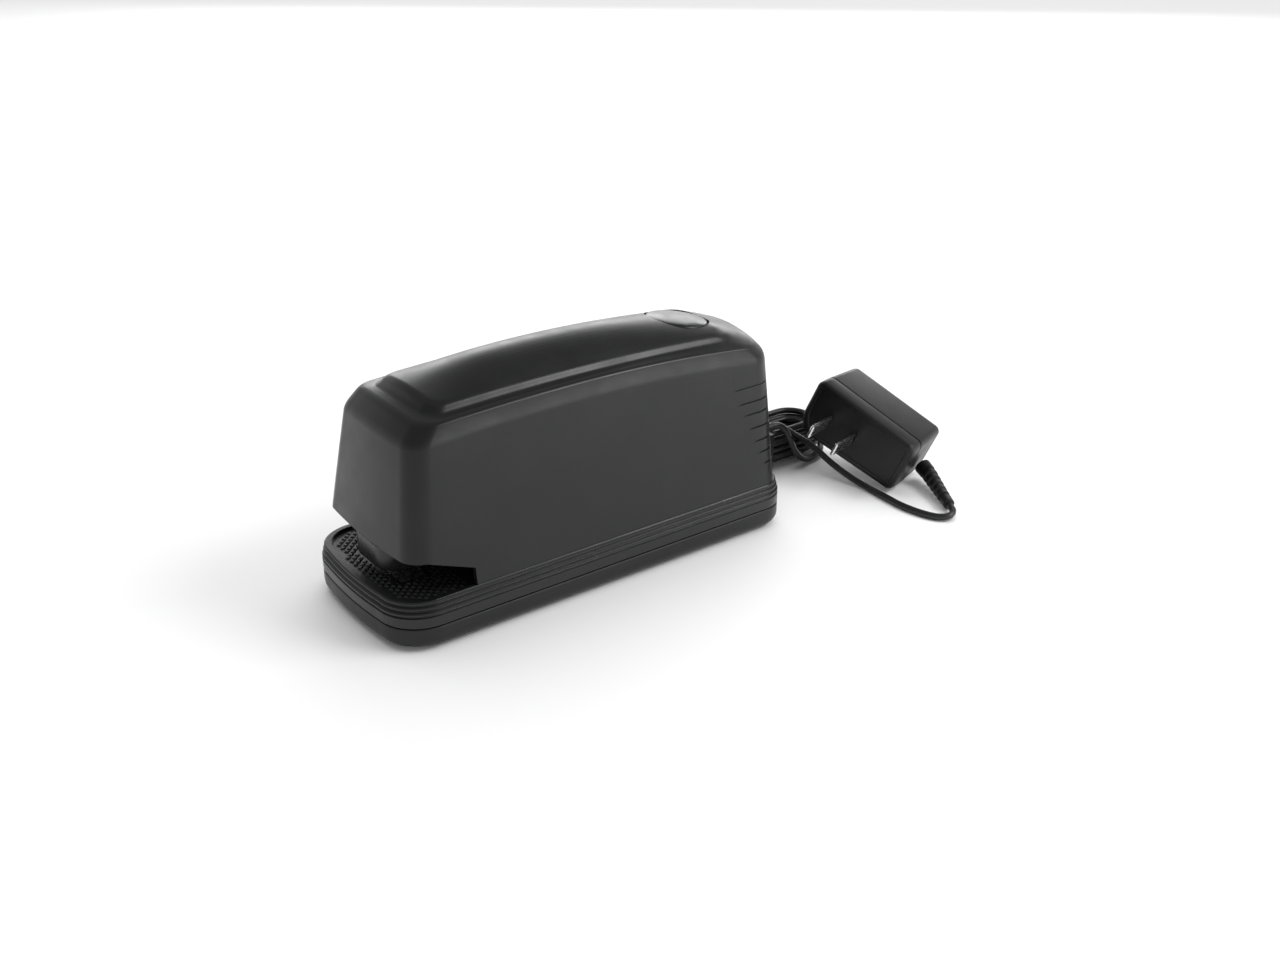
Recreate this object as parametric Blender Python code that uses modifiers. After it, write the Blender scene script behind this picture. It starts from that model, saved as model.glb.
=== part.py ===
"""Electric desktop stapler with its wall adapter. +Z up, the paper mouth faces -Y, +X is its right side.

The origin is the bottom centre of the stapler. Dimensions below are millimetres; MM turns them into metres.
"""
import math

import bmesh
import bpy
from mathutils import Matrix, Vector

MM = 0.001
GAP = 0.3                       # clearance between neighbouring pieces

# base
BASE_HALF_WIDTH = 36.0
BASE_HALF_LENGTH = 89.0
BASE_FRONT_RADIUS = 16.0
BASE_REAR_RADIUS = 12.0
TRAY_BOTTOM = 1.2
SEAM_Z = 9.15                   # joint between tray and beaded band
TABLE_Z = 17.8                  # paper table, inside the rim
RIM_Z = 19.0                    # top of the band, where the casing sits
BEAD_LEVELS = (13.5, 15.4, 17.3)
FOOT_X, FOOT_Y, FOOT_RADIUS = 25.0, 62.0, 6.0
SCREW_Y = 79.0

# casing
CASING_FOOT_HALF_WIDTH = 34.6
CASING_EDGE_HALF_WIDTH = 27.0   # where the side wall meets the top
CASING_WALL = 2.2
BUTTON_Y = 57.5
BUTTON_RADIUS = 12.4
BUTTON_TILT = math.radians(8.5)
BUTTON_DROP = 0.6               # how far its top lies below the crown
BUTTON_TRAVEL = 2.5
FRONT_CROWN = 0.2               # how much of the rear's crown the front end has
MOUTH_TOP, MOUTH_CORNER_Y = 32.2, -74.0
MOUTH_BACK_Y, MOUTH_BACK_TOP = -56.4, 25.6
JACK_Z = 24.0

# chassis and drive
PLATE_INNER_X = 18.2
PLATE_THICKNESS = 1.2
GEAR_MODULE = 1.0
WHEEL_TEETH, PINION_TEETH = 32, 12
GEAR_Z = 57.0
CRANK_Y = -46.0
GEAR_STEP = GEAR_MODULE * (WHEEL_TEETH + PINION_TEETH) / 2
CRANK_RADIUS = 5.5              # half of the driver's stroke
AXLE_RADIUS = 2.0
BLADE_Y = -70.3

# magazine
NOSE_BOTTOM = 21.2
CHANNEL_HALF_WIDTH = 7.9
CHANNEL_BOTTOM, CHANNEL_TOP = 21.6, 31.8
RAIL_TOP = 27.3
ROD_Z = 30.2
CHANNEL_FRONT, CHANNEL_REAR = -72.0, 44.0
LATCH_Y, LATCH_Z = 46.0, 46.0

# wall adapter and lead
ADAPTER_CENTRE = Vector((21.2, 148.6, 21.7))
ADAPTER_ALONG = Vector((0.8882, 0.2402, -0.3916)).normalized()
ADAPTER_FACE = Vector((0.2701, -0.9626, 0.0222))
ADAPTER_LENGTH, ADAPTER_HEIGHT, ADAPTER_DEPTH = 51.2, 24.0, 28.8
ADAPTER_BELLY = 0.26
BLADE_SPACING, BLADE_WIDTH, BLADE_THICKNESS, BLADE_LENGTH = 12.7, 6.35, 1.5, 15.9
PLUG_Y = 86.0
CORD_RADIUS = 1.4
HANK_CENTRE = (-17.7, 124.0)
HANK_HALF_WIDTH, HANK_HALF_LENGTH = 13.7, 28.0
HANK_BOTTOM, HANK_TOP = 1.5, 17.0
JACK_LEAD_ROUTE = (
    (0.0, 110.4, 24.0), (0.0, 114.0, 23.6), (-0.1, 118.0, 20.3), (-0.3, 121.4, 14.6), (-0.6, 125.0, 8.2),
    (-0.9, 130.0, 3.4), (-1.4, 134.5, 2.0), (-2.2, 139.0, 2.2),
)
RELIEF_ROUTE = ((42.6, 159.9, 6.4), (46.5, 158.9, 5.4), (54.0, 155.2, 4.2), (61.5, 151.2, 3.5), (68.6, 147.4, 3.0))
ADAPTER_LEAD_ROUTE = (
    (69.0, 147.2, 3.0), (73.0, 144.9, 2.6), (74.4, 141.2, 2.0), (71.6, 137.4, 1.6), (65.0, 134.8, 1.5),
    (56.0, 133.4, 1.5), (46.0, 133.8, 1.5), (36.0, 134.4, 1.5), (27.0, 133.2, 3.0), (17.0, 130.6, 7.0),
    (8.0, 128.6, 11.6), (2.4, 127.0, 13.9), (-1.8, 125.4, 15.4),
)

PARTS = bpy.data.collections.new("electric_stapler")
CUTTERS = bpy.data.collections.new("cutters")
TO_WORLD = {
    "X": Matrix(((0, 0, 1), (1, 0, 0), (0, 1, 0))),
    "Y": Matrix(((1, 0, 0), (0, 0, -1), (0, 1, 0))),
    "Z": Matrix.Identity(3),
}


def clear_scene():
    for old in list(bpy.data.objects):
        bpy.data.objects.remove(old, do_unlink=True)
    for collection in (PARTS, CUTTERS):
        bpy.context.scene.collection.children.link(collection)


def material(name, colour, roughness, metallic=0.0):
    made = bpy.data.materials.new(name)
    made.use_nodes = True
    shader = made.node_tree.nodes["Principled BSDF"]
    shader.inputs["Base Color"].default_value = (*colour, 1.0)
    shader.inputs["Roughness"].default_value = roughness
    shader.inputs["Metallic"].default_value = metallic
    made.diffuse_color = (*colour, 1.0)
    return made


def place(name, mesh, look, origin=(0, 0, 0), cutter=False):
    """An object from a mesh in world millimetres, with its origin on the given point."""
    mesh.transform(Matrix.Scale(MM, 4) @ Matrix.Translation(-Vector(origin)))
    mesh.shade_smooth()
    mesh.set_sharp_from_angle(angle=math.radians(32))
    made = bpy.data.objects.new(name, mesh)
    made.location = Vector(origin) * MM
    (CUTTERS if cutter else PARTS).objects.link(made)
    if cutter:
        made.hide_render = True
        made.display_type = "WIRE"
    else:
        shade = material(name, *look)
        mesh.materials.append(shade)
    return made


def to_mesh(bm, name):
    bmesh.ops.recalc_face_normals(bm, faces=bm.faces)
    mesh = bpy.data.meshes.new(name)
    bm.to_mesh(mesh)
    bm.free()
    return mesh


def box_mesh(low, high):
    bm = bmesh.new()
    bmesh.ops.create_cube(bm, size=1.0)
    low, high = Vector(low), Vector(high)
    size = high - low
    bmesh.ops.scale(bm, vec=size, verts=bm.verts)
    bmesh.ops.translate(bm, vec=(low + high) / 2, verts=bm.verts)
    return to_mesh(bm, "box")


def box(name, low, high, look, bevel=0.0, **rest):
    made = place(name, box_mesh(low, high), look, **rest)
    if bevel:
        soften(made, bevel)
    return made


def soften(made, width, segments=2):
    edge = made.modifiers.new("rounded_edges", "BEVEL")
    edge.width = width * MM
    edge.segments = segments
    edge.limit_method = "ANGLE"
    edge.angle_limit = math.radians(40)


def rod_mesh(start, end, radius, sides=20, end_radius=None):
    """A cylinder or cone from start to end."""
    start, end = Vector(start), Vector(end)
    bm = bmesh.new()
    bmesh.ops.create_cone(bm, cap_ends=True, segments=sides, radius1=radius,
                          radius2=radius if end_radius is None else end_radius, depth=(end - start).length)
    turn = (end - start).to_track_quat("Z", "Y").to_matrix().to_4x4()
    bmesh.ops.transform(bm, matrix=Matrix.Translation((start + end) / 2) @ turn, verts=bm.verts)
    return to_mesh(bm, "rod")


def rod(name, start, end, radius, look, sides=20, **rest):
    return place(name, rod_mesh(start, end, radius, sides), look, **rest)


def curve_to_mesh(curve, name):
    """The curve's filled and bevelled surface as one welded mesh; the curve is removed."""
    holder = bpy.data.objects.new(name, curve)
    bpy.context.scene.collection.objects.link(holder)
    shaped = holder.evaluated_get(bpy.context.evaluated_depsgraph_get())
    mesh = bpy.data.meshes.new_from_object(shaped)
    bpy.data.objects.remove(holder, do_unlink=True)
    bm = bmesh.new()
    bm.from_mesh(mesh)
    bmesh.ops.remove_doubles(bm, verts=bm.verts, dist=0.001)
    return bm


def prism_mesh(loops, low, high, axis):
    """Flat outlines, the first one outside and the others holes, drawn out along an axis.

    Points are (y, z) for X, (x, z) for Y and (x, y) for Z.
    """
    curve = bpy.data.curves.new("outline", "CURVE")
    curve.dimensions = "2D"
    curve.fill_mode = "BOTH"
    curve.extrude = (high - low) / 2
    for loop in loops:
        spline = curve.splines.new("POLY")
        spline.points.add(len(loop) - 1)
        for point, (u, v) in zip(spline.points, loop):
            point.co = (u, v, 0, 1)
        spline.use_cyclic_u = True
    bm = curve_to_mesh(curve, "outline")
    turn = TO_WORLD[axis]
    middle = turn @ Vector((0, 0, 1)) * (low + high) / 2
    if axis == "Y":
        middle = -middle
    bmesh.ops.transform(bm, matrix=Matrix.Translation(middle) @ turn.to_4x4(), verts=bm.verts)
    return to_mesh(bm, "prism")


def prism(name, loops, low, high, axis, look, **rest):
    return place(name, prism_mesh(loops, low, high, axis), look, **rest)


def circle(u, v, radius, sides=24):
    return [(u + radius * math.cos(math.tau * k / sides), v + radius * math.sin(math.tau * k / sides))
            for k in range(sides)]


def rectangle(u0, v0, u1, v1):
    return [(u0, v0), (u1, v0), (u1, v1), (u0, v1)]


def loft_mesh(rings, ridge=False):
    """A closed body through rings of equal point count, capped at the ends; a ridge is a last ring folded flat."""
    bm = bmesh.new()
    rows = [[bm.verts.new(point) for point in ring] for ring in rings]
    for lower, upper in zip(rows, rows[1:]):
        for k in range(len(lower)):
            bm.faces.new((lower[k - 1], lower[k], upper[k], upper[k - 1]))
    bm.faces.new(rows[0])
    if ridge:
        bmesh.ops.remove_doubles(bm, verts=rows[-1], dist=0.01)
    else:
        bm.faces.new(rows[-1])
    return to_mesh(bm, "loft")


def tube(name, points, radius, look, end_radius=None):
    """A round tube along points, tapering evenly to the end radius."""
    curve = bpy.data.curves.new(name, "CURVE")
    curve.dimensions = "3D"
    curve.bevel_depth = radius
    curve.bevel_resolution = 2
    curve.use_fill_caps = True
    spline = curve.splines.new("POLY")
    spline.points.add(len(points) - 1)
    last = len(points) - 1
    for k, (point, co) in enumerate(zip(spline.points, points)):
        point.co = (*co, 1)
        point.radius = 1 if end_radius is None else 1 + (end_radius / radius - 1) * k / last
    return place(name, to_mesh(curve_to_mesh(curve, name), name), look)


def smooth_route(route, step):
    """Points about one step apart on a smooth curve through the route's points."""
    knots = [Vector(p) for p in route]
    knots = [2 * knots[0] - knots[1], *knots, 2 * knots[-1] - knots[-2]]
    dense = []
    for a, b, c, d in zip(knots, knots[1:], knots[2:], knots[3:]):
        for k in range(24):
            t = k / 24
            dense.append(0.5 * (2 * b + (c - a) * t + (2 * a - 5 * b + 4 * c - d) * t * t
                                + (3 * b - a - 3 * c + d) * t ** 3))
    dense.append(knots[-2])
    total = sum((q - p).length for p, q in zip(dense, dense[1:]))
    count = max(2, round(total / step))
    chosen, walked = [dense[0]], 0.0
    for p, q in zip(dense, dense[1:]):
        walked += (q - p).length
        if walked >= len(chosen) * total / count and len(chosen) < count:
            chosen.append(q)
    return chosen + [dense[-1]]


def coil(name, start, axis, length, turns, radius, wire, look, **rest):
    """A compression spring whose wire circles the axis."""
    turn = TO_WORLD[axis]
    steps = round(turns * 9)
    points = []
    for k in range(steps + 1):
        angle = math.tau * turns * k / steps
        local = Vector((radius * math.cos(angle), radius * math.sin(angle), length * k / steps))
        if axis == "Y":
            local.z = -local.z
        points.append(Vector(start) + turn @ local)
    return tube(name, points, wire, look, **rest)


def cut(made, tool, operation="DIFFERENCE"):
    step = made.modifiers.new(tool.name, "BOOLEAN")
    step.operation = operation
    step.object = tool


def cutter(name, mesh):
    return place(name, mesh, None, cutter=True)


# --- looks: colour, roughness, metallic ---
BLACK_ABS = ((0.018, 0.019, 0.018), 0.42)
BLACK_GLOSS = ((0.014, 0.014, 0.015), 0.3)
DARK_RUBBER = ((0.02, 0.02, 0.02), 0.8)
STEEL = ((0.55, 0.55, 0.56), 0.35, 1.0)
BRIGHT_STEEL = ((0.75, 0.75, 0.76), 0.2, 1.0)
ZINC = ((0.45, 0.46, 0.48), 0.45, 1.0)
NYLON = ((0.75, 0.74, 0.70), 0.5)
DARK_NYLON = ((0.06, 0.06, 0.065), 0.5)
BOARD = ((0.02, 0.12, 0.05), 0.5)
CORD_BLACK = ((0.015, 0.015, 0.015), 0.5)


def plan(half_width, front, rear, front_radius, rear_radius, front_bow, rear_bow):
    """A rounded rectangle with bowed ends, 50 points, anticlockwise from the front left corner."""
    points = []
    for end, side, radius, bow in ((front, -1, front_radius, front_bow), (rear, 1, rear_radius, rear_bow)):
        reach = half_width - radius
        sag = bow * (reach / half_width) ** 2
        corner_y = end - side * (sag + radius)
        for k in range(6):
            angle = math.pi / 2 * k / 6
            points.append((side * (reach + radius * math.cos(angle)), corner_y + side * radius * math.sin(angle)))
        for k in range(9):
            x = side * reach * (1 - 2 * k / 9)
            points.append((x, end - side * bow * (x / half_width) ** 2))
        for k in range(7):
            angle = math.pi / 2 * k / 6
            points.append((-side * (reach + radius * math.sin(angle)), corner_y + side * radius * math.cos(angle)))
        other = rear if side < 0 else front
        other_radius = rear_radius if side < 0 else front_radius
        other_bow = rear_bow if side < 0 else front_bow
        other_y = other + side * (other_bow * ((half_width - other_radius) / half_width) ** 2 + other_radius)
        for k in range(1, 4):
            points.append((-side * half_width, corner_y + (other_y - corner_y) * k / 4))
    return points


def base_plan(inset):
    return plan(BASE_HALF_WIDTH - inset, -BASE_HALF_LENGTH + inset, BASE_HALF_LENGTH - inset,
                BASE_FRONT_RADIUS - inset, BASE_REAR_RADIUS - inset, 3.7, 2.0)


def base_ring(inset, z):
    return [(x, y, z) for x, y in base_plan(inset)]


def base_tray():
    rings = [base_ring(2.6, 3.6), base_ring(2.4, SEAM_Z - 0.15), base_ring(0.35, SEAM_Z - 0.15),
             base_ring(0.0, SEAM_Z - 0.6), base_ring(0.0, 4.2), base_ring(0.5, 2.4), base_ring(1.5, 1.5),
             base_ring(2.6, TRAY_BOTTOM)]
    tray = place("base_tray", loft_mesh(rings), BLACK_ABS)
    for side in (-1, 1):
        for end in (-1, 1):
            name = ("front" if end < 0 else "rear") + ("_left" if side < 0 else "_right")
            x, y = side * FOOT_X, end * FOOT_Y
            cut(tray, cutter("foot_recess_" + name, rod_mesh((x, y, -1), (x, y, 2.2), FOOT_RADIUS + 0.4)))
            rod("rubber_foot_" + name, (x, y, 0), (x, y, 1.8), FOOT_RADIUS, DARK_RUBBER)
    for name, y in (("front", -SCREW_Y), ("rear", SCREW_Y)):
        cut(tray, cutter("screw_head_hole_" + name, rod_mesh((0, y, -1), (0, y, 2.4), 3.2)))
        cut(tray, cutter("screw_hole_" + name, rod_mesh((0, y, -1), (0, y, 5), 1.8)))
        base_screw("base_screw_" + name, 0, y)


def base_screw(name, x, y):
    """A pan-head screw from below, turned from its profile."""
    profile = ((1.4, 13.2), (1.4, 2.2), (2.8, 2.1), (2.8, 1.5), (2.0, 1.25), (0.0, 1.25))
    turned(name, [(0.0, 13.2), *profile], (x, y, 0), STEEL, sides=12)


def turned_mesh(profile, sides):
    """A solid of revolution about Z through (radius, z) points, outer side from top to bottom."""
    bm = bmesh.new()
    verts = [bm.verts.new((radius, 0, z)) for radius, z in profile]
    for a, b in zip(verts, verts[1:]):
        bm.edges.new((a, b))
    bmesh.ops.spin(bm, geom=bm.verts[:] + bm.edges[:], cent=(0, 0, 0), axis=(0, 0, 1),
                   angle=math.tau, steps=sides, use_merge=True)
    bmesh.ops.remove_doubles(bm, verts=bm.verts, dist=0.0005)
    return to_mesh(bm, "turned")


def turned(name, profile, centre, look, sides=32, tilt=None, **rest):
    mesh = turned_mesh(profile, sides)
    mesh.transform(Matrix.Translation(Vector(centre)) @ (tilt or Matrix.Identity(4)))
    return place(name, mesh, look, **rest)


def base_cover():
    """The beaded band with the sunk paper table, open below."""
    inside_top = TABLE_Z - 3.0
    rings = [base_ring(2.7, inside_top), base_ring(2.5, SEAM_Z + 0.15), base_ring(0.35, SEAM_Z + 0.15),
             base_ring(0.0, SEAM_Z + 0.6)]
    step = (BASE_HALF_WIDTH - CASING_FOOT_HALF_WIDTH) / 3
    for k, z in enumerate(BEAD_LEVELS):
        top = z + 1.55
        rings += [base_ring(k * step, z), base_ring(k * step + 0.25, z + 0.3), base_ring(k * step + 0.05, top)]
    rings += [base_ring(3 * step, RIM_Z), base_ring(3.4, RIM_Z), base_ring(3.7, TABLE_Z)]
    cover = place("base_cover", loft_mesh(rings), BLACK_ABS)
    cut(cover, cutter("anvil_pocket", box_mesh((-14.8, -76.3, TABLE_Z - 1.7), (14.8, -65.2, TABLE_Z + 5))))
    cut(cover, cutter("trigger_slot", box_mesh((11.2, -55.5, 5), (14.8, -46.5, TABLE_Z + 5))))


def anvil():
    """The clinching plate with two grooves for the staple legs and two countersunk screws."""
    outline = rectangle(-14.5, -76.0, 14.5, -65.5)
    holes = [circle(side * 11.0, -70.7, 2.2, 16) for side in (-1, 1)]
    plate = prism("anvil", [outline, *holes], TABLE_Z - 1.4, TABLE_Z + 0.1, "Z", BRIGHT_STEEL)
    for side in (-1, 1):
        low = (min(side * 1.2, side * 6.8), BLADE_Y - 1.1, TABLE_Z - 0.5)
        high = (max(side * 1.2, side * 6.8), BLADE_Y + 1.1, TABLE_Z + 2)
        cut(plate, cutter("clinch_groove_" + str(side), box_mesh(low, high)))
        rod("anvil_screw_" + ("left" if side < 0 else "right"), (side * 11.0, -70.7, TABLE_Z - 1.3),
            (side * 11.0, -70.7, TABLE_Z + 0.1), 1.8, BRIGHT_STEEL, sides=16)


def paper_sensing():
    """The stop bar, and the trigger that the sheets push back onto a switch in the base."""
    box("paper_stop", (-31, -45.5, TABLE_Z + GAP), (31, -43.5, 20.2), BLACK_ABS)
    lever = [(-51.6, 9.6), (-48.2, 9.6), (-47.6, 6.6), (-45.4, 6.6), (-45.2, 9.2), (-48.0, 13.2),
             (-51.0, 14.0), (-51.3, 21.6), (-52.6, 21.6), (-52.9, 13.0)]
    prism("paper_trigger", [lever, circle(-50.2, 11.6, 1.35, 12)], 12.0, 14.0, "X", DARK_NYLON,
          origin=(13.0, -50.2, 11.6))
    rod("trigger_pin", (9.5, -50.2, 11.6), (16.5, -50.2, 11.6), 1.0, STEEL, sides=12)
    box("micro_switch", (7.5, -44.8, 3.9), (18.5, -34.0, 11.0), DARK_NYLON, bevel=0.5)


# --- casing: the levels rise from the rim to the crown, each with its own height along the length ---

def arch(peak, peak_y, spread, front_spread=None):
    """Height along the casing: a parabola, which may fall more slowly towards the front."""
    return lambda y: peak - (y - peak_y) ** 2 / (front_spread if front_spread and y < peak_y else spread)


SIDE_EDGE = arch(74.25, -9.0, 1440.0)
ROOF_EDGE = arch(79.75, -5.0, 1350.0, 2000.0)
PANEL_FOOT = arch(79.9, -2.0, 2600.0)
PANEL_EDGE = arch(83.2, -8.0, 2200.0)
RIDGE = arch(89.3, -6.0, 850.0)


def casing_levels():
    """(plan outline arguments, height function, crown of the end walls' upper edge) from the foot to the ridge."""
    levels = [
        ((34.6, -84.4, 87.2, 9.0, 10.0, 2.2, 3.5), lambda y: RIM_Z + GAP, 0.0),
        ((33.6, -82.9, 87.0, 9.0, 10.0, 2.2, 3.5), lambda y: 26.0, 0.0),
        ((30.3, -79.3, 86.5, 8.6, 9.6, 2.2, 3.5), lambda y: 50.0, 0.0),
        ((27.15, -76.0, 86.2, 8.2, 9.0, 2.2, 3.5), lambda y: SIDE_EDGE(y) - 0.5, 5.6),
        ((26.6, -75.0, 85.6, 8.0, 9.0, 2.2, 3.5), lambda y: SIDE_EDGE(y) + 1.3, 5.4),
        ((25.2, -70.8, 82.0, 7.5, 10.0, 2.2, 3.5), lambda y: ROOF_EDGE(y) - 0.5, 3.6),
        ((24.0, -68.8, 80.8, 7.0, 10.0, 2.2, 3.5), lambda y: ROOF_EDGE(y) + 0.15, 3.6),
        ((20.4, -64.6, 78.2, 6.5, 15.0, 1.6, 2.0), PANEL_FOOT, 1.4),
        ((18.9, -62.6, 76.2, 6.0, 15.0, 1.6, 2.0), lambda y: PANEL_EDGE(y) - 1.0, 0.5),
        ((17.4, -60.6, 74.4, 5.5, 15.0, 1.6, 2.0), PANEL_EDGE, 0.0),
    ]
    for inset in (3.5, 7.5, 11.0, 14.2):
        rise = 1 - (1 - inset / 17.4) ** 2
        half = 17.4 - inset
        corner = min(5.5, half * 0.8)
        levels.append(((half, -60.6 + inset, 74.4 - inset * 0.8, corner, min(15.0, half * 0.9), 1.6, 1.0),
                       lambda y, rise=rise: PANEL_EDGE(y) + (RIDGE(y) - PANEL_EDGE(y)) * rise, 0.0))
    return levels


def button_frame():
    """The button's place and tilt: it lies in the crown, which falls towards the rear."""
    top = Vector((0, BUTTON_Y, RIDGE(BUTTON_Y) - BUTTON_DROP))
    return Matrix.Translation(top) @ Matrix.Rotation(-BUTTON_TILT, 4, "X")


def casing_rings(inset):
    """The casing's sections, or those of the space inside it when inset is the wall's thickness."""
    rings = []
    for (half, front, rear, front_radius, rear_radius, front_bow, rear_bow), height, crown in casing_levels():
        if half - inset < 1.0:
            continue
        outline = plan(half - inset, front + inset, rear - inset, min(front_radius, (half - inset) * 0.8),
                       min(rear_radius, (half - inset) * 0.9), front_bow, rear_bow)
        rings.append([(x, y, height(y) - (inset if height(y) > 60 else 0)
                       + crown * (1.0 if y > 0 else FRONT_CROWN) * (1 - min(1.0, (x / (half - inset)) ** 2)))
                      for x, y in outline])
    rings.append([(0.0, y, RIDGE(y) - inset) for x, y, z in rings[-1]])
    if inset:
        rings.insert(0, [(x, y, z - 5) for x, y, z in rings[0]])
    return rings


def casing():
    shell = place("casing", loft_mesh(casing_rings(0), ridge=True), BLACK_ABS)
    cut(shell, cutter("casing_inside", loft_mesh(casing_rings(CASING_WALL), ridge=True)))
    mouth = [(-95, 15), (-95, MOUTH_TOP), (MOUTH_CORNER_Y, MOUTH_TOP), (MOUTH_BACK_Y, MOUTH_BACK_TOP),
             (MOUTH_BACK_Y, 15)]
    cut(shell, cutter("mouth", prism_mesh([mouth], -45, 45, "X")))
    hole = rod_mesh((0, 0, -12), (0, 0, 8), BUTTON_RADIUS + 0.5, 40)
    hole.transform(button_frame())
    cut(shell, cutter("button_hole", hole))
    cut(shell, cutter("jack_hole", rod_mesh((0, 70, JACK_Z), (0, 95, JACK_Z), 4.6)))


def release():
    """Round button on a stem, its spring and bracket, and the latch lever below."""
    frame = button_frame()
    press = Matrix.Rotation(-BUTTON_TILT, 4, "X") @ Vector((0, 0, -1))
    profile = [(0.0, 0.35), (8.0, 0.0), (11.6, -0.5), (12.4, -1.2), (12.4, -5.2), (3.0, -5.2), (3.0, -27.0),
               (1.2, -28.6), (0.0, -28.6)]
    turned("release_button", profile, (0, 0, 0), BLACK_GLOSS, sides=40, tilt=frame, origin=frame.translation)
    bracket = box_mesh((-17.8, 49.0, 66.0), (17.8, 67.0, 67.4))
    plate = place("button_bracket", bracket, STEEL)
    cut(plate, cutter("stem_hole", rod_mesh((0, 54.9, 60), (0, 54.9, 75), 4.6)))
    points = []
    for k in range(46):
        angle = math.tau * 5 * k / 45
        points.append(frame @ Vector((5.6 * math.cos(angle), 5.6 * math.sin(angle), -15.6 + 9.6 * k / 45)))
    tube("button_spring", points, 0.45, STEEL)
    tip = frame @ Vector((0, 0, -28.6))
    lever = [(LATCH_Y - 3.2, LATCH_Z + 2.6), (LATCH_Y + 3.0, LATCH_Z + 3.2), (tip.y - 2.2, tip.z - 2.2),
             (tip.y - 2.2, tip.z - 0.5), (tip.y + 2.6, tip.z - 0.5), (tip.y + 2.6, tip.z - 3.4),
             (LATCH_Y + 4.0, LATCH_Z - 3.0), (LATCH_Y - 3.0, LATCH_Z - 3.4), (LATCH_Y - 5.6, 36.6),
             (LATCH_Y - 6.2, 32.2), (LATCH_Y - 9.2, 32.2), (LATCH_Y - 8.8, 37.6), (LATCH_Y - 6.4, LATCH_Z)]
    prism("latch_lever", [lever, circle(LATCH_Y, LATCH_Z, 1.9, 16)], -3, 3, "X", ZINC,
          origin=(0, LATCH_Y, LATCH_Z))
    rod("latch_pin", (-17.8, LATCH_Y, LATCH_Z), (17.8, LATCH_Y, LATCH_Z), 1.5, STEEL, sides=16)
    return press


def chassis():
    """Two side plates with spacers, the guide that the magazine runs in, and the driver's guides."""
    outline = [(-68, 38), (-50, 20.4), (60, 20.4), (60, 60), (52, 72), (-62, 74), (-67, 69.5)]
    for side in (-1, 1):
        low, high = sorted((side * PLATE_INNER_X, side * (PLATE_INNER_X + PLATE_THICKNESS)))
        name = "left" if side < 0 else "right"
        prism("side_plate_" + name, [outline], low, high, "X", STEEL)
        ell = [(side * 8.5, -72.2), (side * 11.0, -72.2), (side * 11.0, -68), (side * 17.8, -68), (side * 17.8, -66),
               (side * 8.5, -66)]
        prism("driver_guide_" + name, [ell], 38, 66, "Z", ZINC)
    for name, y, z in (("front", -61, 71.2), ("rear", 40, 68.6)):
        rod("frame_spacer_" + name, (-17.8, y, z), (17.8, y, z), 2.0, STEEL, sides=16)
    trough = [(-9.4, 20.4), (9.4, 20.4), (9.4, 33.0), (8.3, 33.0), (8.3, 21.2), (-8.3, 21.2), (-8.3, 33.0),
              (-9.4, 33.0)]
    prism("magazine_guide", [trough], -59.5, 56, "Y", ZINC)


def magazine():
    """The staple magazine that slides out of the front: channel, rail, staples, nose and rear catch."""
    half = CHANNEL_HALF_WIDTH
    inner = half - 0.8
    floor = CHANNEL_BOTTOM + 0.8
    section = [(-half, CHANNEL_BOTTOM), (half, CHANNEL_BOTTOM), (half, CHANNEL_TOP), (inner, CHANNEL_TOP),
               (inner, floor), (-inner, floor), (-inner, CHANNEL_TOP), (-half, CHANNEL_TOP)]
    channel = prism("magazine_channel", [section], CHANNEL_FRONT, CHANNEL_REAR, "Y", STEEL)
    cut(channel, cutter("staple_exit", box_mesh((-6.9, -80, 15), (6.9, -69.5, floor + 0.5))))
    rail = [(-5.4, floor + GAP), (5.4, floor + GAP), (5.4, RAIL_TOP), (-5.4, RAIL_TOP)]
    prism("staple_rail", [rail], -69.3, 42.0, "Y", ZINC)

    def straddle(outer, wall, top):
        return [(-outer, floor + 0.4), (-outer, top), (outer, top), (outer, floor + 0.4),
                (outer - wall, floor + 0.4), (outer - wall, top - wall), (wall - outer, top - wall),
                (wall - outer, floor + 0.4)]

    prism("staple_strip", [straddle(6.35, 0.6, RAIL_TOP + 0.9)], -69.3, -20, "Y", BRIGHT_STEEL)
    deck = RAIL_TOP + 1.5
    sled = [(-6.5, floor + 0.4), (-6.5, deck), (-2.8, deck), (-2.8, 31.5), (-1.1, 31.5), (-1.1, deck + 0.2),
            (1.1, deck + 0.2), (1.1, 31.5), (2.8, 31.5), (2.8, deck), (6.5, deck), (6.5, floor + 0.4),
            (5.8, floor + 0.4), (5.8, RAIL_TOP + 0.4), (-5.8, RAIL_TOP + 0.4), (-5.8, floor + 0.4)]
    prism("pusher", [sled], -19.6, -5, "Y", DARK_NYLON, origin=(0, -19.6, RAIL_TOP))
    rod("pusher_rod", (0, -69.4, ROD_Z), (0, 43.9, ROD_Z), 0.65, STEEL, sides=10)
    coil("pusher_spring", (0, -4.2, ROD_Z), "Y", 47.0, 8, 1.25, 0.22, STEEL)
    box("magazine_end", (-7.9, 44.3, CHANNEL_BOTTOM), (7.9, 53.0, CHANNEL_TOP), BLACK_ABS, bevel=0.8)
    magazine_nose()


def magazine_nose():
    """The rounded plastic head round the front of the channel."""
    half, front, radius = 14.0, -80.6, 8.0
    outline = [(half, -61.5), (8.3, -61.5), (8.3, -72.3), (-8.3, -72.3), (-8.3, -61.5), (-half, -61.5)]
    for side in (-1, 1):
        arc = [(side * (half - radius + radius * math.cos(a)), front + radius - radius * math.sin(a))
               for a in (math.pi / 2 * k / 8 for k in range(9))]
        outline += arc if side < 0 else arc[::-1]
    nose = prism("magazine_nose", [outline], NOSE_BOTTOM, CHANNEL_TOP, "Z", BLACK_ABS)
    return nose


# --- drive ---

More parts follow.
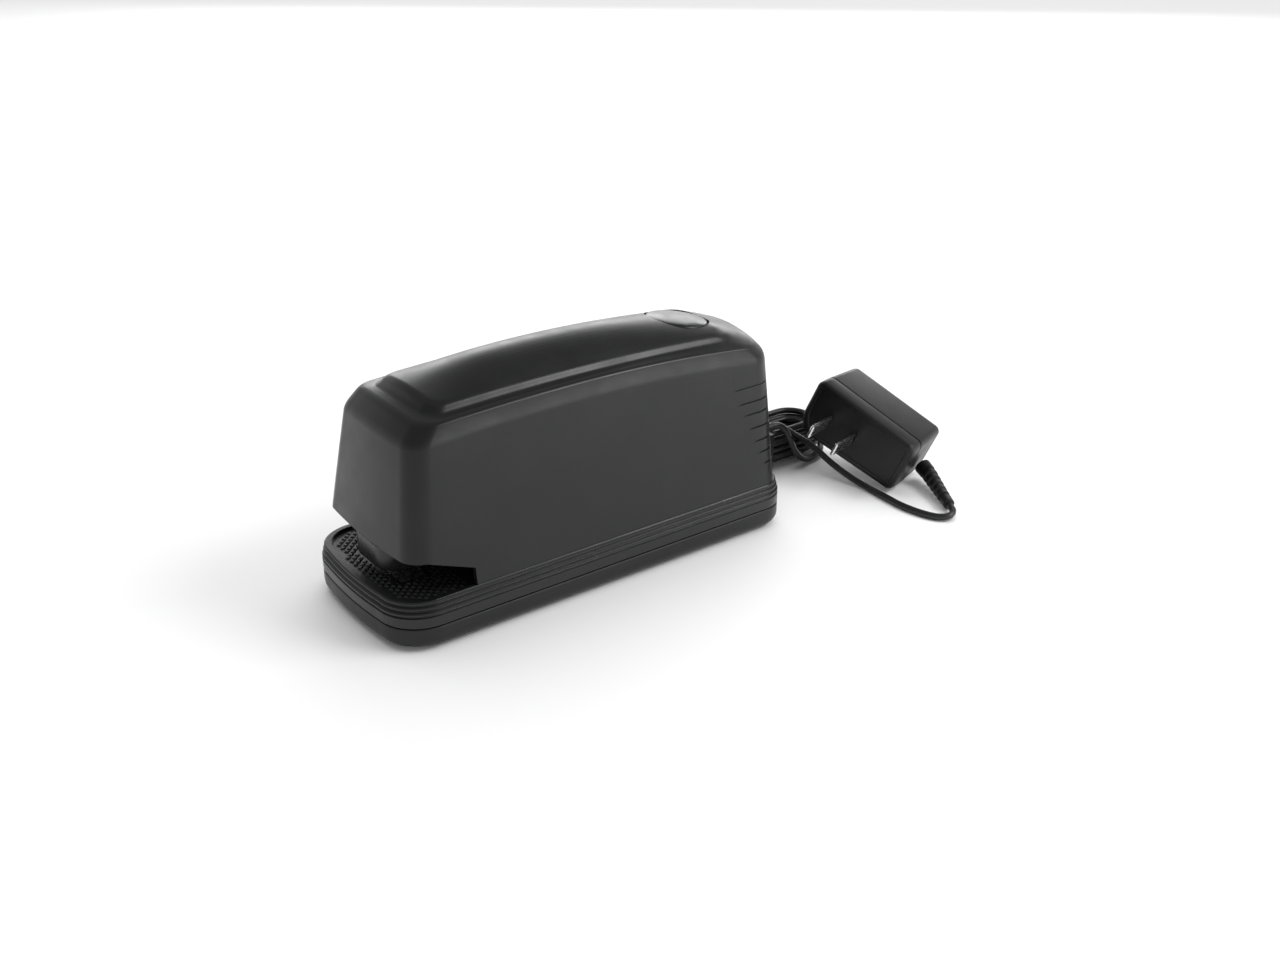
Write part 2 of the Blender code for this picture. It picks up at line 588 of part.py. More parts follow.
def gear_outline(teeth, turn):
    """A spur gear's outline: pointed-flank teeth, a little thin for backlash."""
    pitch_radius = GEAR_MODULE * teeth / 2
    points = []
    for k in range(teeth):
        centre = math.tau * k / teeth + turn
        for radius, half_width in ((-1.05, 0.92), (0.8, 0.33)):
            spread = half_width * GEAR_MODULE / (pitch_radius + radius)
            points.append((pitch_radius + radius * GEAR_MODULE, centre - spread))
        for radius, half_width in ((0.8, 0.33), (-1.05, 0.92)):
            spread = half_width * GEAR_MODULE / (pitch_radius + radius)
            points.append((pitch_radius + radius * GEAR_MODULE, centre + spread))
    return [(r * math.cos(a), r * math.sin(a)) for r, a in points]


def shifted(outline, y):
    return [(u + y, v + GEAR_Z) for u, v in outline]


def wheel(name, y, x_low, x_high, turn, look, pinion=None, crank=False):
    """A gear turning about X; with a pinion on the same hub or with the crank's pin."""
    origin = ((x_low + x_high) / 2, y, GEAR_Z)
    made = prism(name, [shifted(gear_outline(WHEEL_TEETH, turn), y)], x_low, x_high, "X", look, origin=origin)
    if pinion:
        p_low, p_high, p_turn = pinion
        outline = shifted(gear_outline(PINION_TEETH, p_turn), y)
        cut(made, cutter(name + "_pinion", prism_mesh([outline], p_low, p_high, "X")), "UNION")
    if crank:
        top = GEAR_Z + CRANK_RADIUS
        cut(made, cutter("crank_pin", rod_mesh((-2.1, y, top), (x_low + 2, y, top), 2.0, 16)), "UNION")
    bore = rod_mesh((-12, y, GEAR_Z), (30, y, GEAR_Z), AXLE_RADIUS + 0.4, 20)
    cut(made, cutter(name + "_bore", bore))


def drive():
    """Motor, two reduction gears, the crank gear and the driver that it presses down."""
    y_crank, y_second = CRANK_Y, CRANK_Y + GEAR_STEP
    y_first, y_motor = CRANK_Y + 2 * GEAR_STEP, CRANK_Y + 3 * GEAR_STEP
    half_tooth = math.pi / WHEEL_TEETH
    half_pinion = math.pi / PINION_TEETH
    # a wheel shows its pinion (at +Y) a gap, and each pinion shows the wheel at -Y a tooth
    wheel("crank_gear", y_crank, 0.0, 5.0, half_tooth, NYLON, crank=True)
    wheel("gear_second", y_second, 6.4, 10.6, half_tooth, NYLON, pinion=(0.4, 7.4, math.pi))
    wheel("gear_first", y_first, 12.0, 16.0, half_tooth, NYLON, pinion=(6.2, 13.0, math.pi))
    rod("crank_axle", (-0.5, y_crank, GEAR_Z), (17.8, y_crank, GEAR_Z), AXLE_RADIUS, STEEL)
    rod("gear_second_axle", (-17.8, y_second, GEAR_Z), (17.8, y_second, GEAR_Z), AXLE_RADIUS, STEEL)
    rod("gear_first_axle", (-17.8, y_first, GEAR_Z), (17.8, y_first, GEAR_Z), AXLE_RADIUS, STEEL)
    pinion = prism("motor_pinion", [shifted(gear_outline(PINION_TEETH, math.pi), y_motor)], 12.0, 16.6, "X",
                   STEEL, origin=(14.0, y_motor, GEAR_Z))
    cut(pinion, cutter("motor_shaft", rod_mesh((9.2, y_motor, GEAR_Z), (13, y_motor, GEAR_Z), 1.6, 16)), "UNION")
    rod("motor_can", (-14.5, y_motor, GEAR_Z), (8.9, y_motor, GEAR_Z), 14.0, ZINC, sides=40)
    rod("motor_end_cap", (-17.6, y_motor, GEAR_Z), (-14.8, y_motor, GEAR_Z), 12.0, DARK_NYLON, sides=32)
    top = GEAR_Z + CRANK_RADIUS
    yoke = [(-65.5, top - 4.8), (-34, top - 4.8), (-34, top + 4.8), (-65.5, top + 4.8)]
    slot = [(-56, top - 2.4), (-36.6, top - 2.4), (-36.6, top + 2.4), (-56, top + 2.4)]
    carriage = prism("driver_carriage", [yoke, slot], -4.6, -2.6, "X", ZINC, origin=(0, BLADE_Y, 50))
    holder = box_mesh((-8.1, BLADE_Y + 0.6, 48.5), (8.1, -64.5, 65.0))
    cut(carriage, cutter("blade_holder", holder), "UNION")
    box("driver_blade", (-6.2, BLADE_Y - 0.3, 33.0), (6.2, BLADE_Y + 0.3, 58.0), BRIGHT_STEEL,
        origin=(0, BLADE_Y, 50))


def electrics():
    prism("dc_jack", [rectangle(-5, JACK_Z - 4, 5, JACK_Z + 5.5), circle(0, JACK_Z, 3.2)], 70, 82, "Y", DARK_NYLON)
    box("circuit_board", (-16, 71.5, 31), (16, 73.1, 60), BOARD)


# --- lead and wall adapter ---

def adapter_matrix():
    along = ADAPTER_ALONG
    face = (ADAPTER_FACE - along * ADAPTER_FACE.dot(along)).normalized()
    up = face.cross(along).normalized()
    if up.z < 0:
        up = -up
    turn = Matrix((along, up, along.cross(up))).transposed()
    return Matrix.Translation(ADAPTER_CENTRE) @ turn.to_4x4(), along.cross(up).dot(face)


def adapter():
    """Two shells that meet on a line round the plug face, and two flat blades."""
    frame, facing = adapter_matrix()
    half_l, half_h, half_d = ADAPTER_LENGTH / 2, ADAPTER_HEIGHT / 2, ADAPTER_DEPTH / 2
    split = half_d - 8.0
    sign = 1 if facing > 0 else -1

    def block(name, low, high, taper, look, bevel):
        bm = bmesh.new()
        bm.from_mesh(box_mesh((-half_l, -half_h, low), (half_l, half_h, high)))
        far = max(low, high, key=abs)
        ends = [v for v in bm.verts if abs(v.co.z - far) < 0.01]
        bmesh.ops.scale(bm, vec=(1 - taper, 1 - taper, 1), verts=ends)
        for v in bm.verts:
            if v.co.y < 0:
                v.co.y *= 1 + ADAPTER_BELLY * (1 - v.co.x / half_l) / 2
        bmesh.ops.scale(bm, vec=(1, 1, sign), verts=bm.verts)
        bmesh.ops.transform(bm, matrix=frame, verts=bm.verts)
        made = place(name, to_mesh(bm, name), look)
        soften(made, bevel, 3)
        return made

    block("adapter_body", -half_d, split - GAP / 2, 0.05, BLACK_ABS, 2.2)
    cover = block("adapter_cover", split + GAP / 2, half_d, 0.0, BLACK_ABS, 1.4)
    cover.modifiers["rounded_edges"].segments = 2
    for k, x in enumerate((-6.7 - BLADE_SPACING / 2, -6.7 + BLADE_SPACING / 2)):
        mesh = box_mesh((x - BLADE_THICKNESS / 2, -BLADE_WIDTH / 2, 0), (x + BLADE_THICKNESS / 2, BLADE_WIDTH / 2,
                                                                           BLADE_LENGTH))
        mesh.transform(frame @ Matrix.Translation((0, -1.8, sign * (half_d + GAP))) @ Matrix.Diagonal((1, 1, sign, 1)))
        if sign < 0:
            mesh.flip_normals()
        blade = place("adapter_blade_" + str(k + 1), mesh, BRIGHT_STEEL)
        soften(blade, 0.5, 1)


def lead():
    """The plug in the jack, the lead to the hank, the tied hank, and the lead to the adapter."""
    plug = [(0.0, 24.0), (1.7, 24.0), (2.0, 15.0), (3.2, 14.0), (4.0, 12.0), (4.2, 1.0), (3.9, 0.0), (0.0, 0.0)]
    lay = Matrix.Rotation(-math.pi / 2, 4, "X")
    turned("dc_plug", plug, (0, PLUG_Y, JACK_Z), BLACK_ABS, sides=24, tilt=lay)
    rod("dc_plug_barrel", (0, 72.0, JACK_Z), (0, PLUG_Y - GAP, JACK_Z), 2.7, BRIGHT_STEEL)
    step = 2.4 * CORD_RADIUS * 2
    tube("cord_to_jack", smooth_route(JACK_LEAD_ROUTE, step), CORD_RADIUS, CORD_BLACK)
    tube("cord_to_adapter", smooth_route(ADAPTER_LEAD_ROUTE, step), CORD_RADIUS, CORD_BLACK)
    tube("adapter_relief", smooth_route(RELIEF_ROUTE, 4.0), 3.4, BLACK_ABS, end_radius=2.3)
    x0, y0 = HANK_CENTRE
    straight = HANK_HALF_LENGTH - HANK_HALF_WIDTH
    stadium = [(x0 + HANK_HALF_WIDTH * math.cos(a), y0 + (straight if a < math.pi else -straight)
                + HANK_HALF_WIDTH * math.sin(a))
               for a in (math.pi * k / 12 + (0.0001 if k > 12 else 0) for k in range(25))]
    hank = prism("cord_hank", [stadium], HANK_BOTTOM, HANK_TOP, "Z", CORD_BLACK)
    soften(hank, 4.5)
    reach = HANK_HALF_WIDTH + GAP
    band = [rectangle(x0 - reach - 0.9, 0.2, x0 + reach + 0.9, HANK_TOP + GAP + 0.9),
            rectangle(x0 - reach, HANK_BOTTOM - GAP, x0 + reach, HANK_TOP + GAP)]
    prism("cord_tie", band, y0 - 14, y0 - 10, "Y", CORD_BLACK)


def main():
    clear_scene()
    base_tray()
    base_cover()
    anvil()
    paper_sensing()
    casing()
    release()
    chassis()
    magazine()
    drive()
    electrics()
    adapter()
    lead()


main()
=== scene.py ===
"""Looks of an electric desktop stapler with its wall adapter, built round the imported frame."""
import math
import random

import bmesh
import bpy
from mathutils import Matrix, Vector


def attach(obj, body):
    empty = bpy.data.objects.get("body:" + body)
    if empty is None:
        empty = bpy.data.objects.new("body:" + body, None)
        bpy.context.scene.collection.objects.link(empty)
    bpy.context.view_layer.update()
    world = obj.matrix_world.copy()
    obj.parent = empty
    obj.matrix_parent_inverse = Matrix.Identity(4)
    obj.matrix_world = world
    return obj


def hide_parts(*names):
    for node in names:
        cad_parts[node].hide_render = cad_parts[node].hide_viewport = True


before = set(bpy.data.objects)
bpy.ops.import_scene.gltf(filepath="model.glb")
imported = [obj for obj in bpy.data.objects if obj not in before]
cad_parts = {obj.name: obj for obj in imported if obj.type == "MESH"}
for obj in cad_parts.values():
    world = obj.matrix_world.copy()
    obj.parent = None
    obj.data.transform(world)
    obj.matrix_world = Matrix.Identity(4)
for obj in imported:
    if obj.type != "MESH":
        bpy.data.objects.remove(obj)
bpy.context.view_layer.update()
MM = 0.001
random.seed(4)


# --- camera ---

CAMERA_PLACE = (0.41019, -0.26799, 0.26294)
CAMERA_BACK = (0.72227, -0.54180, 0.42987)
CAMERA_RIGHT = (0.600, 0.800, 0.0)
LENS_MM, SENSOR_MM = 39.84, 36.0


def add_camera():
    data = bpy.data.cameras.new("camera")
    data.lens = LENS_MM
    data.sensor_width = SENSOR_MM
    data.clip_start = 0.01
    made = bpy.data.objects.new("camera", data)
    bpy.context.scene.collection.objects.link(made)
    right = Vector(CAMERA_RIGHT).normalized()
    back = Vector(CAMERA_BACK).normalized()
    up = back.cross(right).normalized()
    right = up.cross(back)
    turn = Matrix((right, up, back)).transposed().to_4x4()
    made.matrix_world = Matrix.Translation(CAMERA_PLACE) @ turn
    bpy.context.scene.camera = made


add_camera()


# --- materials ---

class Look:
    """A Principled material with node-based colour, roughness and bump."""

    def __init__(self, name, colour, roughness, metallic=0.0, **sockets):
        self.material = bpy.data.materials.new(name)
        self.material.use_nodes = True
        self.tree = self.material.node_tree
        self.shader = self.tree.nodes["Principled BSDF"]
        self.shader.inputs["Base Color"].default_value = (*colour, 1)
        self.shader.inputs["Roughness"].default_value = roughness
        self.shader.inputs["Metallic"].default_value = metallic
        for socket, value in sockets.items():
            self.shader.inputs[socket.replace("_", " ")].default_value = value
        self.colour = colour
        self.place = self.node("ShaderNodeTexCoord").outputs["Object"]
        self.height = None

    def node(self, kind):
        return self.tree.nodes.new(kind)

    def link(self, a, b):
        self.tree.links.new(a, b)

    def stretched(self, scale):
        mapping = self.node("ShaderNodeMapping")
        mapping.inputs["Scale"].default_value = scale
        self.link(self.place, mapping.inputs["Vector"])
        return mapping.outputs["Vector"]

    def noise(self, scale, detail, place=None):
        made = self.node("ShaderNodeTexNoise")
        made.inputs["Scale"].default_value = scale
        made.inputs["Detail"].default_value = detail
        self.link(place or self.place, made.inputs["Vector"])
        return made.outputs["Fac"]

    def span(self, value, low, high, start=0.3, end=0.7):
        made = self.node("ShaderNodeMapRange")
        for socket, number in (("From Min", start), ("From Max", end), ("To Min", low), ("To Max", high)):
            made.inputs[socket].default_value = number
        self.link(value, made.inputs["Value"])
        return made.outputs["Result"]

    def tint(self, value, other):
        mix = self.node("ShaderNodeMix")
        mix.data_type = "RGBA"
        mix.inputs[6].default_value = (*self.colour, 1)
        mix.inputs[7].default_value = (*other, 1)
        self.link(value, mix.inputs[0])
        self.link(mix.outputs[2], self.shader.inputs["Base Color"])

    def rough(self, value, low, high):
        self.link(self.span(value, low, high), self.shader.inputs["Roughness"])

    def bump(self, value, distance, strength=1.0):
        made = self.node("ShaderNodeBump")
        made.inputs["Distance"].default_value = distance
        made.inputs["Strength"].default_value = strength
        self.link(value, made.inputs["Height"])
        if self.height is not None:
            self.link(self.height, made.inputs["Normal"])
        self.height = made.outputs["Normal"]
        self.link(self.height, self.shader.inputs["Normal"])


def moulded(name, colour, other, roughness, grain=2600.0, depth=0.00003, specular=0.36):
    """Injection-moulded plastic: spark-eroded grain, faint cloudiness and uneven gloss."""
    look = Look(name, colour, roughness, Specular_IOR_Level=specular)
    look.tint(look.span(look.noise(38.0, 3.0), 0.0, 1.0, 0.35, 0.65), other)
    look.rough(look.noise(90.0, 4.0), roughness - 0.05, roughness + 0.06)
    look.bump(look.noise(grain, 2.0), depth, 0.6)
    look.bump(look.noise(60.0, 1.0), 0.0002, 0.12)
    return look.material


def metal(name, colour, roughness, stretch=(300, 6, 300)):
    """Rolled or drawn metal: fine streaks along the stretch direction, and dull patches."""
    look = Look(name, colour, roughness, 1.0)
    streaks = look.noise(14.0, 3.0, look.stretched(stretch))
    look.tint(look.span(look.noise(120.0, 3.0), 0.0, 1.0), tuple(c * 0.72 for c in colour))
    look.rough(streaks, roughness - 0.08, roughness + 0.14)
    look.bump(streaks, 0.00002, 0.5)
    return look.material


def cord_skin():
    """Soft black PVC with a faint sheen."""
    look = Look("cord_pvc", (0.0060, 0.0060, 0.0066), 0.40)
    look.tint(look.span(look.noise(150.0, 2.0), 0.0, 1.0), (0.0100, 0.0100, 0.0106))
    look.rough(look.noise(300.0, 3.0), 0.36, 0.5)
    look.bump(look.noise(1800.0, 2.0), 0.00003, 0.5)
    return look.material


def board_look():
    """Green solder mask over raised tracks."""
    look = Look("solder_mask", (0.012, 0.10, 0.035), 0.35)
    tracks = look.noise(260.0, 0.0, look.stretched((1, 0.2, 1)))
    look.tint(look.span(tracks, 0.0, 1.0, 0.48, 0.52), (0.02, 0.17, 0.06))
    look.rough(look.noise(500.0, 2.0), 0.3, 0.42)
    look.bump(tracks, 0.00004, 0.6)
    return look.material


BLACK_ABS = moulded("abs_black", (0.0045, 0.0052, 0.0047), (0.0068, 0.0076, 0.0070), 0.33)
BAND_ABS = moulded("abs_band", (0.0052, 0.0058, 0.0055), (0.0080, 0.0086, 0.0082), 0.30, specular=0.45)
TRAY_ABS = moulded("abs_tray", (0.0052, 0.0056, 0.0053), (0.0082, 0.0086, 0.0083), 0.38)
BUTTON_ABS = moulded("abs_button", (0.0050, 0.0053, 0.0060), (0.0072, 0.0075, 0.0082), 0.3, 3200.0, 0.00002)
ADAPTER_ABS = moulded("abs_adapter", (0.0056, 0.0056, 0.0060), (0.0088, 0.0088, 0.0092), 0.4, 1500.0, 0.00006)
NOSE_ABS = moulded("abs_nose", (0.0060, 0.0062, 0.0070), (0.0090, 0.0092, 0.0100), 0.27, specular=0.5)
RUBBER = moulded("foot_rubber", (0.018, 0.018, 0.018), (0.03, 0.03, 0.029), 0.8, 900.0, 0.0001)
SOFT_PVC = moulded("soft_pvc", (0.0058, 0.0058, 0.0062), (0.0094, 0.0094, 0.0098), 0.42, 1800.0, 0.00004)
DARK_NYLON = moulded("nylon_dark", (0.05, 0.05, 0.054), (0.07, 0.07, 0.075), 0.5)
ACETAL = moulded("acetal", (0.74, 0.72, 0.66), (0.62, 0.6, 0.54), 0.42, 2000.0, 0.00002)
PLATED = metal("zinc_plated_steel", (0.56, 0.57, 0.58), 0.34)
SPRING_STEEL = metal("spring_steel", (0.5, 0.5, 0.52), 0.28, (60, 60, 60))
BRIGHT = metal("bright_steel", (0.78, 0.78, 0.79), 0.2, (300, 20, 300))
ANVIL_STEEL = metal("hardened_steel", (0.62, 0.62, 0.63), 0.25, (40, 400, 300))
MOTOR_STEEL = metal("motor_can_steel", (0.5, 0.5, 0.51), 0.38, (6, 300, 300))
CORD = cord_skin()
BOARD = board_look()

FINISH = {
    BLACK_ABS: "casing paper_stop magazine_end",
    BAND_ABS: "base_cover",
    TRAY_ABS: "base_tray",
    BUTTON_ABS: "release_button",
    NOSE_ABS: "magazine_nose",
    ADAPTER_ABS: "adapter_body adapter_cover",
    SOFT_PVC: "adapter_relief dc_plug cord_tie",
    RUBBER: "rubber_foot_front_left rubber_foot_front_right rubber_foot_rear_left rubber_foot_rear_right",
    DARK_NYLON: "paper_trigger micro_switch motor_end_cap dc_jack pusher",
    ACETAL: "crank_gear gear_second gear_first",
    PLATED: "base_screw_front base_screw_rear trigger_pin button_bracket latch_pin side_plate_left "
            "side_plate_right frame_spacer_front frame_spacer_rear magazine_channel pusher_rod crank_axle "
            "gear_second_axle gear_first_axle latch_lever driver_guide_left driver_guide_right "
            "magazine_guide staple_rail driver_carriage motor_pinion",
    SPRING_STEEL: "button_spring pusher_spring",
    BRIGHT: "staple_strip dc_plug_barrel adapter_blade_1 adapter_blade_2 anvil_screw_left anvil_screw_right",
    ANVIL_STEEL: "anvil driver_blade",
    MOTOR_STEEL: "motor_can",
    BOARD: "circuit_board",
    CORD: "cord_to_jack cord_hank cord_to_adapter",
}
for look, names in FINISH.items():
    for name in names.split():
        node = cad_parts[name]
        node.data.materials.clear()
        node.data.materials.append(look)


# --- mesh helpers; lengths in millimetres ---

def add(name, mesh, look, body="stapler", stands_for=(), sharp=35):
    mesh.transform(Matrix.Scale(MM, 4))
    mesh.shade_smooth()
    mesh.set_sharp_from_angle(angle=math.radians(sharp))
    mesh.materials.append(look)
    made = bpy.data.objects.new(name, mesh)
    bpy.context.scene.collection.objects.link(made)
    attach(made, body)
    if stands_for:
        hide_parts(*stands_for)
    return made


def to_mesh(bm, name):
    bmesh.ops.recalc_face_normals(bm, faces=bm.faces)
    mesh = bpy.data.meshes.new(name)
    bm.to_mesh(mesh)
    bm.free()
    return mesh


def eased(share):
    share = min(1.0, max(0.0, share))
    return share * share * (3 - 2 * share)


def smooth_line(points, step):
    """A Catmull-Rom line through the points, with even steps."""
    points = [Vector(p) for p in points]
    ends = [points[0] * 2 - points[1], *points, points[-1] * 2 - points[-2]]
    fine = []
    for a, b, c, d in zip(ends, ends[1:], ends[2:], ends[3:]):
        for k in range(12):
            t = k / 12
            fine.append(0.5 * ((2 * b) + (c - a) * t + (2 * a - 5 * b + 4 * c - d) * t * t
                               + (3 * b - a - 3 * c + d) * t ** 3))
    fine.append(points[-1])
    length = sum((b - a).length for a, b in zip(fine, fine[1:]))
    count = max(2, round(length / step))
    out, gone, goal = [fine[0]], 0.0, length / count
    for a, b in zip(fine, fine[1:]):
        part = (b - a).length
        while part and gone + part >= goal * len(out) - 1e-9 and len(out) < count:
            out.append(a.lerp(b, (goal * len(out) - gone) / part))
        gone += part
    out.append(fine[-1])
    return out


# --- lead ---

CORD_RADIUS = 1.4
JACK_LEAD_ROUTE = (
    (0.0, 110.4, 24.0), (0.0, 114.0, 23.6), (-0.1, 118.0, 20.3), (-0.3, 121.4, 14.6), (-0.6, 125.0, 8.2),
    (-0.9, 130.0, 3.4), (-1.4, 134.5, 2.0), (-2.2, 139.0, 2.2),
)
ADAPTER_LEAD_ROUTE = (
    (69.0, 147.2, 3.0), (73.0, 144.9, 2.6), (74.4, 141.2, 2.0), (71.6, 137.4, 1.6), (65.0, 134.8, 1.5),
    (56.0, 133.4, 1.5), (46.0, 133.8, 1.5), (36.0, 134.4, 1.5), (27.0, 133.2, 3.0), (17.0, 130.6, 7.0),
    (8.0, 128.6, 11.6), (2.4, 127.0, 13.9), (-1.8, 125.4, 15.4),
)
RELIEF_ROUTE = (
    (41.4, 160.2, 6.9), (46.5, 158.9, 5.4), (54.0, 155.2, 4.2), (61.5, 151.2, 3.5), (68.6, 147.4, 3.0),
)
RELIEF_RADIUS, RELIEF_TAPER = 3.6, 1.25
# the ribs' stretch as shares of the relief's length, their number and their depth
RIBS_START, RIBS_SPAN, RIBS, RIB_DEPTH = 0.14, 0.78, 6, 1.15
HANK_X, HANK_FRONT, HANK_REAR = -17.7, 113.5, 138.2
OUTER, MIDDLE, INNER = 12.0, 9.0, 6.0
LEVEL_LOW, LEVEL_STEP = 2.95, 3.02
# radius and level of each turn, from the jack's lead to the adapter's, and how far its front fold stands out
TURNS = (
    (OUTER, 0, 0.0), (MIDDLE, 0, 0.0), (INNER, 0, -1.2), (INNER, 1, 1.2), (MIDDLE, 1, 0.0),
    (OUTER, 1, 1.4), (OUTER, 2, 0.0), (MIDDLE, 2, 0.0), (INNER, 2, -1.2), (INNER, 3, 1.2),
    (MIDDLE, 3, 0.0), (OUTER, 3, 2.6), (MIDDLE, 4, -1.2), (INNER, 4, 0.0),
)
# the first turn's points up to here are left out, where the jack's lead comes in
FIRST_KEPT = 8


def hank_points():
    """The layered turns: along the right side, round the rear, back on the left, round the front."""
    points = []
    for (radius, level, out), (next_radius, next_level, _) in zip(TURNS, TURNS[1:]):
        z, next_z = (LEVEL_LOW + LEVEL_STEP * k for k in (level, next_level))
        rear = HANK_REAR + random.uniform(-1.2, 0.3)
        front = HANK_FRONT - out
        for k in range(1, 4):
            points.append((HANK_X + radius, HANK_FRONT + (rear - HANK_FRONT) * k / 4, z))
        for k in range(9):
            angle = math.pi * k / 8
            points.append((HANK_X + radius * math.cos(angle), rear + radius * math.sin(angle), z))
        for k in range(1, 4):
            points.append((HANK_X - radius, rear + (front - rear) * k / 4, z))
        for k in range(9):
            share = k / 8
            ease = share * share * (3 - 2 * share)
            r = radius + (next_radius - radius) * share
            angle = math.pi * (1 + share)
            points.append((HANK_X + r * math.cos(angle), front + r * math.sin(angle),
                           z + (next_z - z) * ease))
    return points[FIRST_KEPT:]


def lead():
    """The whole lead as one curve, from the jack's plug through the hank to the adapter."""
    middle, inner = HANK_X + MIDDLE, HANK_X + INNER
    exit_run = [(inner + 0.3, HANK_FRONT + 3.0, LEVEL_LOW + LEVEL_STEP * 4.4),
                (middle - 0.9, HANK_FRONT + 6.4, 18.1), (middle + 1.5, HANK_FRONT + 8.9, 18.2)]
    entry = [(-4.4, 143.7, 2.6), (-7.8, 147.0, 2.95), (-12.2, 149.3, 2.95)]
    route = [*JACK_LEAD_ROUTE, *entry, *hank_points(), *exit_run, *reversed(ADAPTER_LEAD_ROUTE)]
    line = smooth_line(route, 1.6)
    curve = bpy.data.curves.new("lead", "CURVE")
    curve.dimensions = "3D"
    curve.bevel_depth = CORD_RADIUS * MM
    curve.bevel_resolution = 3
    curve.use_fill_caps = True
    spline = curve.splines.new("POLY")
    spline.points.add(len(line) - 1)
    for point, co in zip(spline.points, line):
        point.co = (*(co * MM), 1)
    made = bpy.data.objects.new("lead", curve)
    bpy.context.scene.collection.objects.link(made)
    curve.materials.append(CORD)
    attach(made, "stapler")
    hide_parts("cord_to_jack", "cord_hank", "cord_to_adapter")
    length = sum((b - a).length for a, b in zip(line, line[1:])) * MM
    print("lead length", round(length, 3))
    return made, line[0] * MM, length


def relief():
    """A tapered boot with ribs, swept along the lead."""
    line = smooth_line(RELIEF_ROUTE, 0.25)
    sides = 24
    bm = bmesh.new()
    rings = []
    last = len(line) - 1
    for k, centre in enumerate(line):
        share = k / last
        forward = (line[min(k + 1, last)] - line[max(k - 1, 0)]).normalized()
        across = forward.cross(Vector((0, 0, 1))).normalized()
        up = across.cross(forward)
        radius = RELIEF_RADIUS - RELIEF_TAPER * share
        if RIBS_START < share < RIBS_START + RIBS_SPAN:
            wave = math.sin(math.tau * (share - RIBS_START) / RIBS_SPAN * RIBS)
            radius -= RIB_DEPTH * eased(wave * 2.2 + 0.3) * (1 - 0.35 * share)
        if k in (0, last):
            radius -= 0.3
        ring = []
        for j in range(sides):
            angle = math.tau * j / sides
            ring.append(bm.verts.new(centre + (across * math.cos(angle) + up * math.sin(angle)) * radius))
        rings.append(ring)
    for a, b in zip(rings, rings[1:]):
        for j in range(sides):
            bm.faces.new((a[j - 1], a[j], b[j], b[j - 1]))
    bm.faces.new(rings[0])
    bm.faces.new(rings[-1])
    return add("strain_relief", to_mesh(bm, "strain_relief"), SOFT_PVC, stands_for=("adapter_relief",),
               sharp=50)


cord_piece, cord_exit, cord_length = lead()
boot = relief()


# --- casing ---

CASING_WALL = 2.2
BUTTON_Y, BUTTON_RADIUS, BUTTON_TILT, BUTTON_DROP = 57.5, 12.4, math.radians(8.5), 0.6
JACK_Z = 24.0
PANEL_HALF, PANEL_FRONT, PANEL_REAR = 17.4, -60.6, 74.4
PANEL_FADE_FRONT, PANEL_FADE_REAR, FRONT_SHARE = 34.0, 10.0, 0.55
PANEL_INSETS = (1.5, 3.2, 5.0, 7.0, 9.0, 11.0, 13.0, 15.0, 16.4)
MOUTH = ((-95, 15), (-95, 32.2), (-74, 32.2), (-56.4, 25.6), (-56.4, 15))
# height and starting place along the side of each groove round the rear
LOUVRES = ((60.5, 62), (54.5, 64), (49.7, 66), (44.0, 68.5), (38.5, 71), (33.5, 73), (28.5, 75))
LOUVRE_HALF_HEIGHT, LOUVRE_DEPTH = 0.36, 0.5


def arch(peak, peak_y, spread, front_spread=None):
    """A height that falls away from its peak towards both ends of the casing."""
    return lambda y: peak - (y - peak_y) ** 2 / (front_spread if front_spread and y < peak_y else spread)


SIDE_EDGE = arch(74.25, -9.0, 1440.0)
ROOF_EDGE = arch(79.75, -5.0, 1350.0, 2000.0)
PANEL_FOOT = arch(79.9, -2.0, 2600.0)
PANEL_EDGE = arch(83.2, -8.0, 2200.0)
RIDGE = arch(89.3, -6.0, 850.0)
# (half width, front, rear, front and rear corner radius, front and rear bow), height, crown of the front
# and of the rear end, rounding
LEVELS = (
    ((34.6, -84.4, 87.2, 9.0, 10.0, 2.2, 3.5), lambda y: 19.3, 0.0, 0.0, 0.0),
    ((33.6, -82.9, 87.0, 9.0, 10.0, 2.2, 3.5), lambda y: 26.0, 0.0, 0.0, 3.0),
    ((30.3, -79.3, 86.5, 8.6, 9.6, 2.2, 3.5), lambda y: 50.0, 0.0, 0.0, 8.0),
    ((27.15, -76.0, 86.2, 8.2, 9.0, 2.2, 3.5), lambda y: SIDE_EDGE(y) - 0.5, 1.1, 5.6, 1.2),
    ((26.6, -75.0, 85.6, 8.0, 9.0, 2.2, 3.5), lambda y: SIDE_EDGE(y) + 1.3, 1.1, 5.4, 1.2),
    ((25.2, -70.8, 82.0, 7.5, 10.0, 2.2, 3.5), lambda y: ROOF_EDGE(y) - 0.5, 1.2, 3.6, 1.2),
    ((24.0, -68.8, 80.8, 7.0, 10.0, 2.2, 3.5), lambda y: ROOF_EDGE(y) + 0.15, 1.4, 3.6, 1.0),
    ((20.4, -64.6, 78.2, 6.5, 15.0, 1.6, 2.0), PANEL_FOOT, 1.8, 1.4, 1.4),
    ((18.9, -62.6, 76.2, 6.0, 15.0, 1.6, 2.0), lambda y: PANEL_EDGE(y) - 1.0, 2.0, 0.5, 0.7),
    ((PANEL_HALF, PANEL_FRONT, PANEL_REAR, 5.5, 15.0, 1.6, 2.0), PANEL_EDGE, 2.1, 0.0, 1.0),
)


